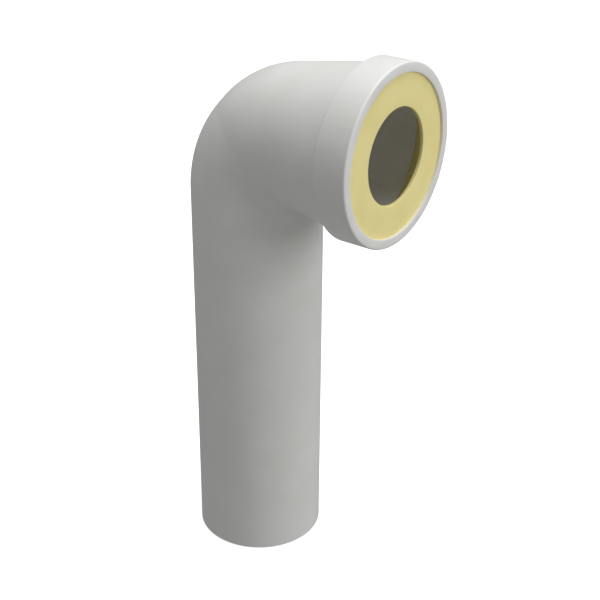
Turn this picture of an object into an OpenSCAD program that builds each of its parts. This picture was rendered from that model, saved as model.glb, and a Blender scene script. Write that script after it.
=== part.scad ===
// Long toilet pan bend: a plain spigot pipe that turns through a right angle
// into a flaring neck, with a socket collar that holds a flat rubber seal.
// The origin is the centre of the pipe's cut end. +Z runs up the pipe and +X
// points out of the socket, towards the toilet pan.

/* [Pipe] */
// Outer diameter of the spigot pipe
pipe_d = 110; // [90:1:125]
// Wall thickness of the pipe and the neck
wall = 3; // [2.5:0.1:4]
// Height of the socket's centre line above the pipe's cut end
socket_height = 384.5; // [250:0.5:600]
// Radius of the pipe's centre line in the bend
bend_r = 55.5; // [55.5:0.5:58]
// Width of the chamfer round the pipe's cut end
end_chamfer = 1; // [0.5:0.1:1.5]

/* [Neck] */
// Diameter of the neck where it meets the collar
neck_root_d = 134.5; // [130:0.5:138]
// Angle at which each side of the neck flares towards the collar
flare_angle = 9.4; // [8:0.1:10]
// Radius of the neck's outer line over the heel of the bend
heel_arc_r = 102.5; // [98:0.5:106]
// Distance from the pipe's axis at which the heel arc runs into the flare
heel_end_x = 37; // [34:0.5:42]
// Distance from the pipe's axis to the line that the neck's sections swing about
swing_x = 48.5; // [46:0.5:52]
// Depth of that line below the socket's centre line
swing_drop = 60; // [59:0.5:62]

/* [Socket collar] */
// Distance from the pipe's axis to the socket's front face
reach = 135.5; // [125:0.5:150]
// Outer diameter of the collar
collar_d = 144; // [140:0.5:150]
// Length of the collar along the socket
collar_length = 28; // [24:0.5:40]
// Radius on the collar's front edge
front_round = 1.6; // [0.5:0.1:2]
// Radius on the collar's rear edge
rear_round = 1.2; // [0.5:0.1:2]
// Wall thickness of the collar, whose hollow holds the seal
collar_wall = 3.5; // [2.5:0.1:5]
// Thickness of the lip at the front that keeps the seal in
lip = 2; // [1:0.5:4]
// Inner diameter of that lip
lip_d = 128; // [120:0.5:132]

/* [Seal] */
// Diameter of the opening in the seal
seal_hole_d = 76; // [60:1:95]
// Thickness of the seal's flat front
seal_front = 3; // [2:0.5:5]
// Thickness of the sleeve behind it
seal_sleeve = 2.5; // [2:0.5:4]

/* [Hidden] */

$fn = 96;
// Overlap that lets joined shapes share material, and cutters clear a face
lap = 1;
pipe_r = pipe_d / 2;
collar_back_x = reach - collar_length;
seat_r = collar_d / 2 - collar_wall;
seat_back_x = collar_back_x + collar_wall;
seal_face_x = reach - lip;
flare = tan(flare_angle);

// Height at which the pipe starts to turn, and the ends of the creased bend
turn_z = socket_height - bend_r;
swing_z = socket_height - swing_drop;
bend_start = -16;
bend_end = 14;
// How deep the bend's skin lies inside the round pieces that it overlaps
tuck = 0.1;
sides = 72;
pipe_steps = 12;
neck_steps = 10;

// Outer radius of the straight neck at a distance x from the pipe's axis
function neck_r(x) = neck_root_d / 2 - (collar_back_x - x) * flare;

// Centre of the heel arc in the side view, seen from the line the sections swing
// about, as [x, z]
heel = [
    heel_end_x + heel_arc_r * sin(flare_angle) - swing_x,
    neck_r(heel_end_x) - heel_arc_r * cos(flare_angle) + swing_drop
];

// Distance from the swing line to the neck's outer line, in the direction at an
// angle t above the horizontal: first over the heel, then along the flare
function heel_line(t) =
    let (along = heel.y * sin(t) - heel.x * cos(t))
    along + sqrt(along * along - heel * heel + heel_arc_r * heel_arc_r);
function flare_line(t) = (neck_r(swing_x) + swing_drop) / (sin(t) + flare * cos(t));
function outer_line(t) =
    swing_x - flare_line(t) * cos(t) > heel_end_x ? flare_line(t) : heel_line(t);

// Each section of the neck is a circle between that line and a small inner gap
inner_gap = swing_drop - neck_r(swing_x);
function section_r(t) = (outer_line(t) - inner_gap) / 2;
function section_m(t) = (outer_line(t) + inner_gap) / 2;

// A point on the pipe. s is millimetres below the turn if negative and degrees
// round the turn if positive; a goes round the pipe from the heel.
function pipe_point(s, a, shrink) =
    let (r = pipe_r - shrink, t = max(s, 0), m = bend_r + r * cos(a))
    [bend_r - m * cos(t), r * sin(a), turn_z + min(s, 0) + m * sin(t)];

// A point on the neck. u is degrees short of upright if negative and millimetres
// past the swing line if positive; a goes round the neck from its top.
function neck_point(u, a, shrink) =
    u < 0
        ? let (t = 90 + u, r = section_r(t) - shrink, m = section_m(t) + r * cos(a))
            [swing_x - m * cos(t), r * sin(a), swing_z + m * sin(t)]
        : let (r = neck_r(swing_x + u) - shrink)
            [swing_x + u, r * sin(a), socket_height + r * cos(a)];

// Where a point lies on the neck, as [u, a, height above the neck's skin]
function on_neck(p, shrink) =
    p.x < swing_x
        ? let (
            t = atan2(p.z - swing_z, swing_x - p.x),
            d = norm([p.x - swing_x, p.z - swing_z]) - section_m(t)
          )
            [t - 90, atan2(p.y, d), norm([d, p.y]) - section_r(t) + shrink]
        : let (d = p.z - socket_height)
            [p.x - swing_x, atan2(p.y, d), norm([d, p.y]) - neck_r(p.x) + shrink];

// How far up the line at angle a the pipe meets the neck, by halving a range
function crease_at(a, shrink, low, high, halvings) =
    let (
        mid = (low + high) / 2,
        outside = on_neck(pipe_point(mid, a, shrink), shrink)[2] > 0
    )
    halvings == 0 ? mid
        : crease_at(a, shrink, outside ? mid : low, outside ? high : mid, halvings - 1);

// Rings of points up the pipe to the crease, then along the neck
function bend_rings(shrink) =
    let (
        angles = [for (j = [0 : sides - 1]) 360 * (j + 0.5) / sides - 180],
        ends = [for (a = angles) crease_at(a, shrink, bend_start, 75, 24)],
        starts = [for (j = [0 : sides - 1])
            on_neck(pipe_point(ends[j], angles[j], shrink), shrink)]
    )
    concat(
        [for (i = [0 : pipe_steps])
            [for (j = [0 : sides - 1])
                let (s = bend_start + (ends[j] - bend_start) * i / pipe_steps)
                pipe_point(s, angles[j], shrink)]],
        [for (i = [1 : neck_steps])
            [for (j = [0 : sides - 1])
                let (k = i / neck_steps, c = starts[j])
                neck_point(c[0] + (bend_end - c[0]) * k, c[1] + (angles[j] - c[1]) * k, shrink)]]
    );

// The creased bend: its outer rings, then its inner rings on the way back
module creased_bend() {
    inner = bend_rings(wall - tuck);
    last = len(inner) - 1;
    rings = concat(bend_rings(tuck), [for (i = [last : -1 : 0]) inner[i]]);
    count = len(rings);
    faces = [for (i = [0 : count - 1], j = [0 : sides - 1])
        let (
            near = i * sides,
            far = (i + 1) % count * sides,
            k = (j + 1) % sides
        )
        each [[near + j, near + k, far + k], [near + j, far + k, far + j]]];
    polyhedron([for (r = rings) each r], faces, convexity = 8);
}

// The spigot pipe, up to just inside the bend
module spigot() {
    inner_r = pipe_r - wall;
    top = turn_z + bend_start / 2;
    rotate_extrude()
        polygon([
            [inner_r, 0], [pipe_r - end_chamfer, 0], [pipe_r, end_chamfer],
            [pipe_r, top], [inner_r, top]
        ]);
}

// Everything round the socket is revolved about its centre line, and grows out
// along +X from the pipe's axis
module along_socket() {
    translate([0, 0, socket_height])
        rotate([0, 90, 0])
            rotate_extrude()
                children();
}

// Square piece to take off a corner so that an arc of radius r is left
module corner(r) {
    difference() {
        translate([-lap, -lap])
            square(r + lap);
        translate([r, r])
            circle(r = r);
    }
}

// The flare and the collar in half section, hollow between the front lip and a
// shoulder at the back, so that the seal is held in
module socket_section() {
    flare_start = swing_x + bend_end / 2;
    collar_r = collar_d / 2;
    lip_r = lip_d / 2;
    difference() {
        polygon([
            [neck_r(flare_start) - wall, flare_start], [neck_r(flare_start), flare_start],
            [neck_r(collar_back_x), collar_back_x], [collar_r, collar_back_x],
            [collar_r, reach], [lip_r, reach],
            [lip_r, seal_face_x], [seat_r, seal_face_x],
            [seat_r, seat_back_x], [neck_r(seat_back_x) - wall, seat_back_x]
        ]);
        translate([collar_r, collar_back_x])
            mirror([1, 0])
                corner(rear_round);
        translate([collar_r, reach])
            rotate(180)
                corner(front_round);
    }
}

module pan_bend() {
    color("gainsboro") {
        spigot();
        creased_bend();
        along_socket()
            socket_section();
    }
}

// Flexible seal: a flat front with a round opening, and a sleeve that reaches
// back to the collar's shoulder
module seal_ring() {
    hole_r = seal_hole_d / 2;
    sleeve_r = seat_r - seal_sleeve;
    front_back_x = seal_face_x - seal_front;
    color("khaki")
        along_socket()
            polygon([
                [hole_r, seal_face_x], [hole_r, front_back_x],
                [sleeve_r, front_back_x], [sleeve_r, seat_back_x],
                [seat_r, seat_back_x], [seat_r, seal_face_x]
            ]);
}

pan_bend();
seal_ring();
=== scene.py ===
from math import cos, radians, sin, sqrt, tan
import bmesh
import bpy
from mathutils import Matrix, Vector


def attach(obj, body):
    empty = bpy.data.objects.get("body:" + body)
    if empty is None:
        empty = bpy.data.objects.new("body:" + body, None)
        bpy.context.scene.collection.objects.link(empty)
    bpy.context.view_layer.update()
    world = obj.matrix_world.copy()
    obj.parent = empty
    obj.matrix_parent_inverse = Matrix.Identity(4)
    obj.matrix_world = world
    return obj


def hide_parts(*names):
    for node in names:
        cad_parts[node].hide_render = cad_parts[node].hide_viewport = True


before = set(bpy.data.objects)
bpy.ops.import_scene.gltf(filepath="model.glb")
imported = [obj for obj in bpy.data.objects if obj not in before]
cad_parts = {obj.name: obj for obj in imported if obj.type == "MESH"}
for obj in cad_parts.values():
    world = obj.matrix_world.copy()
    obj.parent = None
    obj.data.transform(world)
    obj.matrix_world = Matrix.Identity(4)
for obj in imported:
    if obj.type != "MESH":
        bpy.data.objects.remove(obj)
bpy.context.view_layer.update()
mm = 0.001

# The pan bend, outside
# One injection moulding in white polypropylene: a long plain pipe that turns a
# right angle, a neck that flares from the bend, and a thick collar at its end.
# The pipe and the neck are separate forms that meet in a moulded crease.
around = 192
pipe_radius = 55 * mm
wall = 3 * mm
socket_height = 384.5 * mm
turn_radius = 55.5 * mm
turn_height = socket_height - turn_radius


def deselect_all():
    if bpy.context.mode != "OBJECT":
        bpy.ops.object.mode_set(mode="OBJECT")
    bpy.ops.object.select_all(action="DESELECT")


def start_ring(name, radius, centre, tilt):
    """A round face that stands upright at a tilt of 90 degrees, open for editing."""
    deselect_all()
    bpy.ops.mesh.primitive_circle_add(
        vertices=around, radius=radius, fill_type="NGON", location=centre, rotation=(0, tilt, 0)
    )
    form = bpy.context.object
    form.name = name
    bpy.ops.object.mode_set(mode="EDIT")
    return form


def close_form(form):
    """Turns the faces of a closed form outwards and fixes its place in its mesh."""
    bpy.ops.mesh.select_all(action="SELECT")
    bpy.ops.mesh.normals_make_consistent(inside=False)
    deselect_all()
    form.select_set(True)
    bpy.context.view_layer.objects.active = form
    bpy.ops.object.transform_apply(location=True, rotation=True, scale=True)


def straight_pipe_and_turn(name, inset, bottom):
    form = start_ring(name, pipe_radius - inset, (0, 0, bottom), 0)
    straight = turn_height - bottom
    for share in (0.9, 0.05, 0.05):
        bpy.ops.mesh.extrude_region_move(TRANSFORM_OT_translate={"value": (0, 0, share * straight)})
    bpy.ops.mesh.spin(
        steps=36, angle=radians(72), center=(turn_radius, 0, turn_height), axis=(0, -1, 0)
    )
    close_form(form)
    return form


collar_back = 107.5 * mm
collar_front = 135.5 * mm
collar_radius = 72 * mm
flare = radians(9.4)
swing_x = 48.5 * mm
swing_z = socket_height - 60 * mm
heel_end = 37 * mm
heel_radius = 102.5 * mm


def neck_radius(x):
    return 67.25 * mm - (collar_back - x) * tan(flare)


def neck_section(tilt):
    """Radius of the neck's section at a tilt, and how far its middle is from the swing line."""
    outer = (neck_radius(swing_x) + 60 * mm) / (sin(tilt) + tan(flare) * cos(tilt))
    if swing_x - outer * cos(tilt) < heel_end:
        heel_x = heel_end + heel_radius * sin(flare) - swing_x
        heel_z = socket_height + neck_radius(heel_end) - heel_radius * cos(flare) - swing_z
        along = heel_z * sin(tilt) - heel_x * cos(tilt)
        outer = along + sqrt(along**2 - heel_x**2 - heel_z**2 + heel_radius**2)
    inner = 60 * mm - neck_radius(swing_x)
    return (outer - inner) / 2, (outer + inner) / 2


def swinging_neck(name, inset):
    """The part of the neck that turns: each ring swings on, moves out and widens a little."""
    tilt = radians(24)
    radius, middle = neck_section(tilt)
    centre = (swing_x - middle * cos(tilt), 0, swing_z + middle * sin(tilt))
    form = start_ring(name, radius - inset, centre, tilt)
    step = radians(2)
    for _ in range(33):
        tilt += step
        wider, further = neck_section(tilt)
        bpy.ops.mesh.extrude_region_move()
        bpy.ops.transform.rotate(value=-step, orient_axis="Y", center_override=(swing_x, 0, swing_z))
        bpy.ops.transform.resize(
            value=((wider - inset) / (radius - inset),) * 3,
            center_override=(swing_x - middle * cos(tilt), 0, swing_z + middle * sin(tilt)),
        )
        out = further - middle
        bpy.ops.transform.translate(value=(-out * cos(tilt), 0, out * sin(tilt)))
        radius, middle = wider, further
    return form


def follow_outline(outline):
    """Extrudes the upright ring through a list of (x, radius), from the last ring made."""
    for (old_x, old_radius), (x, radius) in zip(outline, outline[1:]):
        bpy.ops.mesh.extrude_region_move(TRANSFORM_OT_translate={"value": (x - old_x, 0, 0)})
        bpy.ops.transform.resize(
            value=(radius / old_radius,) * 3, center_override=(x, 0, socket_height)
        )


def flare_outline(end, inset):
    return [
        (swing_x + (end - swing_x) * k / 10, neck_radius(swing_x + (end - swing_x) * k / 10) - inset)
        for k in range(11)
    ]


def pick_edges(piece, wanted):
    """Selects, in edit mode, the edges whose two ends both pass a test of their place."""
    deselect_all()
    bpy.context.view_layer.objects.active = piece
    bpy.ops.object.mode_set(mode="EDIT")
    bpy.ops.mesh.select_mode(type="EDGE")
    bpy.ops.mesh.select_all(action="DESELECT")
    mesh = bmesh.from_edit_mesh(piece.data)
    for edge in mesh.edges:
        edge.select_set(all(wanted(v.co) for v in edge.verts))
    bmesh.update_edit_mesh(piece.data)


def ring_at(x, radius):
    """A test for places on the round edge of that radius about the socket's centre line."""
    def test(co):
        off = sqrt(co.y**2 + (co.z - socket_height) ** 2)
        return abs(co.x - x) < 0.02 * mm and abs(off - radius) < 0.1 * mm
    return test


pan_bend = straight_pipe_and_turn("bend_moulding", 0, 0)
neck = swinging_neck("neck_and_collar", 0)
follow_outline(
    flare_outline(collar_back, 0) + [(collar_back, collar_radius), (collar_front, collar_radius)]
)
close_form(neck)
pick_edges(neck, ring_at(collar_front, collar_radius))
bpy.ops.mesh.bevel(offset=1.6 * mm, segments=8)
pick_edges(neck, ring_at(collar_back, collar_radius))
bpy.ops.mesh.bevel(offset=1.2 * mm, segments=8)
deselect_all()

# The pan bend, inside
# The same two forms, one wall thickness smaller. The collar is hollow, with a
# thin lip at its front and a shoulder at its back, so that it keeps the seal in.
lip = 2 * mm
lip_radius = 64 * mm
seat_radius = 68.5 * mm
seat_back = 111 * mm
pipe_core = straight_pipe_and_turn("pipe_core", wall, -5 * mm)
neck_core = swinging_neck("neck_core", wall)
follow_outline(
    flare_outline(seat_back, wall)
    + [
        (seat_back, seat_radius),
        (collar_front - lip, seat_radius),
        (collar_front - lip, lip_radius),
        (collar_front + 5 * mm, lip_radius),
    ]
)
close_form(neck_core)


def combine(piece, other, operation):
    deselect_all()
    bpy.context.view_layer.objects.active = piece
    piece.select_set(True)
    join = piece.modifiers.new("join", "BOOLEAN")
    join.operation, join.object, join.solver = operation, other, "EXACT"
    bpy.ops.object.modifier_apply(modifier=join.name)
    bpy.data.objects.remove(other)


combine(pan_bend, neck, "UNION")
combine(pipe_core, neck_core, "UNION")
combine(pan_bend, pipe_core, "DIFFERENCE")


# The pipe's cut end has a small chamfer outside, and the lip's edge is eased.
pick_edges(pan_bend, lambda co: abs(co.z) < 0.02 * mm and abs(co.xy.length - pipe_radius) < 0.1 * mm)
bpy.ops.mesh.bevel(offset=1 * mm, segments=1)
pick_edges(pan_bend, ring_at(collar_front, lip_radius))
bpy.ops.mesh.bevel(offset=0.3 * mm, segments=3)
deselect_all()
pan_bend.select_set(True)
bpy.ops.object.shade_smooth_by_angle(angle=radians(20))


def linear(colour):
    """An sRGB hex colour as the linear RGBA that a shader takes."""
    parts = [int(colour[i : i + 2], 16) / 255 for i in (1, 3, 5)]
    return [p / 12.92 if p <= 0.04045 else ((p + 0.055) / 1.055) ** 2.4 for p in parts] + [1]


def add_node(material, kind, settings=None, links=None):
    """Adds a node. Settings go to its sockets by name or to its own fields, and each link joins
    one of its inputs to another node's output."""
    node = material.node_tree.nodes.new(kind)
    for key, value in (settings or {}).items():
        if key in node.inputs:
            node.inputs[key].default_value = value
        else:
            setattr(node, key, value)
    for socket, (source, output) in (links or {}).items():
        material.node_tree.links.new(source.outputs[output], node.inputs[socket])
    return node


white = bpy.data.materials.new("moulded white polypropylene")
white.use_nodes = True
white.node_tree.nodes.clear()
place = add_node(white, "ShaderNodeTexCoord")
mottle = add_node(
    white, "ShaderNodeTexNoise", {"Scale": 30, "Detail": 3, "Roughness": 0.5}, {"Vector": (place, "Object")}
)
tint = add_node(white, "ShaderNodeValToRGB", links={"Fac": (mottle, "Fac")})
tint.color_ramp.elements[0].position = 0.35
tint.color_ramp.elements[0].color = linear("#E4E4E0")
tint.color_ramp.elements[1].position = 0.65
tint.color_ramp.elements[1].color = linear("#E8E8E6")
plastic = add_node(
    white,
    "ShaderNodeBsdfPrincipled",
    {"Roughness": 0.42, "IOR": 1.49},
    {"Base Color": (tint, "Color")},
)
add_node(white, "ShaderNodeOutputMaterial", links={"Surface": (plastic, "BSDF")})
pan_bend.data.materials.clear()
pan_bend.data.materials.append(white)
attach(pan_bend, "root")
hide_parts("pan_bend")

# The seal
# A soft ring in cream rubber, moulded with a flat front round a circular opening
# and a sleeve behind. It is pushed in past the collar's lip and stays by its shape.
hole_radius = 38 * mm
seal_front = collar_front - lip
seal_ring = start_ring("seal", seat_radius, (seat_back, 0, socket_height), radians(90))
bpy.ops.mesh.delete(type="ONLY_FACE")
bpy.ops.mesh.select_all(action="SELECT")
follow_outline(
    [
        (seat_back, seat_radius),
        (seal_front, seat_radius),
        (seal_front, lip_radius),
        (seal_front, 50 * mm),
        (seal_front, hole_radius),
        (seal_front - 3 * mm, hole_radius),
        (seal_front - 3 * mm, seat_radius - 2.5 * mm),
        (seat_back, seat_radius - 2.5 * mm),
        (seat_back, seat_radius),
    ]
)
bpy.ops.mesh.select_all(action="SELECT")
bpy.ops.mesh.remove_doubles(threshold=0.01 * mm)
close_form(seal_ring)
pick_edges(seal_ring, ring_at(seal_front, hole_radius))
bpy.ops.mesh.bevel(offset=0.6 * mm, segments=5)
pick_edges(seal_ring, ring_at(seal_front - 3 * mm, hole_radius))
bpy.ops.mesh.bevel(offset=0.6 * mm, segments=5)
deselect_all()
seal_ring.select_set(True)
bpy.ops.object.shade_smooth_by_angle(angle=radians(30))

cream = bpy.data.materials.new("moulded cream rubber")
cream.use_nodes = True
cream.node_tree.nodes.clear()
place = add_node(cream, "ShaderNodeTexCoord")
cloud = add_node(
    cream, "ShaderNodeTexNoise", {"Scale": 40, "Detail": 4}, {"Vector": (place, "Object")}
)
tint = add_node(cream, "ShaderNodeValToRGB", links={"Fac": (cloud, "Fac")})
tint.color_ramp.elements[0].position = 0.35
tint.color_ramp.elements[0].color = linear("#F2E49A")
tint.color_ramp.elements[1].position = 0.65
tint.color_ramp.elements[1].color = linear("#F6E9A2")
rubber = add_node(
    cream, "ShaderNodeBsdfPrincipled", {"Roughness": 0.6, "IOR": 1.5}, {"Base Color": (tint, "Color")}
)
add_node(cream, "ShaderNodeOutputMaterial", links={"Surface": (rubber, "BSDF")})
seal_ring.data.materials.clear()
seal_ring.data.materials.append(cream)
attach(seal_ring, "root")
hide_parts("seal_ring")

# The floor
# A plain white studio floor. It takes light but throws none back up, because the
# photograph's object has dark undersides.
deselect_all()
bpy.ops.mesh.primitive_plane_add(size=12, location=(0, 0, 0))
floor = bpy.context.object
floor.name = "floor"
floor.visible_diffuse = False
floor.visible_glossy = False
paper = bpy.data.materials.new("white studio paper")
paper.use_nodes = True
paper.node_tree.nodes.clear()
sheet = add_node(paper, "ShaderNodeBsdfDiffuse", {"Color": linear("#FFFFFF")})
glow = add_node(paper, "ShaderNodeEmission", {"Color": linear("#FFFFFF"), "Strength": 0.6})
both = add_node(paper, "ShaderNodeAddShader")
paper.node_tree.links.new(sheet.outputs[0], both.inputs[0])
paper.node_tree.links.new(glow.outputs[0], both.inputs[1])
add_node(paper, "ShaderNodeOutputMaterial", links={"Surface": (both, "Shader")})
floor.data.materials.append(paper)

# The studio
# Soft light from above and from the socket's side, and a pale surround.
scene = bpy.context.scene
scene.view_settings.view_transform = "Standard"
surround = bpy.data.worlds.new("studio surround")
surround.use_nodes = True
surround.node_tree.nodes["Background"].inputs["Color"].default_value = (1, 1, 1, 1)
surround.node_tree.nodes["Background"].inputs["Strength"].default_value = 0.3
scene.world = surround


def soft_box(name, place, size, power):
    deselect_all()
    bpy.ops.object.light_add(type="AREA", location=place)
    lamp = bpy.context.object
    lamp.name = name
    lamp.data.size = size
    lamp.data.energy = power
    towards = Vector((0.03, 0, 0.3)) - Vector(place)
    lamp.rotation_euler = towards.to_track_quat("-Z", "Y").to_euler()
    return lamp


soft_box("overhead", (0.3, 0.2, 2.2), 1.6, 30)
soft_box("socket_side", (2.0, 0.6, 1.0), 1.2, 16)

# The camera
# It looks down at the front of the socket from the left, as the photograph does.
view = (
    Matrix.Rotation(radians(90 - 53.613), 4, "Z")
    @ Matrix.Rotation(radians(90 - 26.663), 4, "X")
    @ Matrix.Rotation(radians(0.395), 4, "Z")
)
bpy.ops.object.camera_add()
camera = bpy.context.object
camera.name = "camera"
azimuth, elevation = radians(53.613), radians(26.663)
back = Vector((cos(azimuth) * cos(elevation), -sin(azimuth) * cos(elevation), sin(elevation)))
right = Vector((sin(azimuth), cos(azimuth), 0))
target = Vector((0, 0, 224.223 * mm)) + 35.885 * mm * right
camera.matrix_world = Matrix.Translation(target + 1067.558 * mm * back) @ view
camera.data.sensor_width = 36
camera.data.lens = 1235.185 * 36 / 600
camera.data.clip_start = 0.05
scene.camera = camera
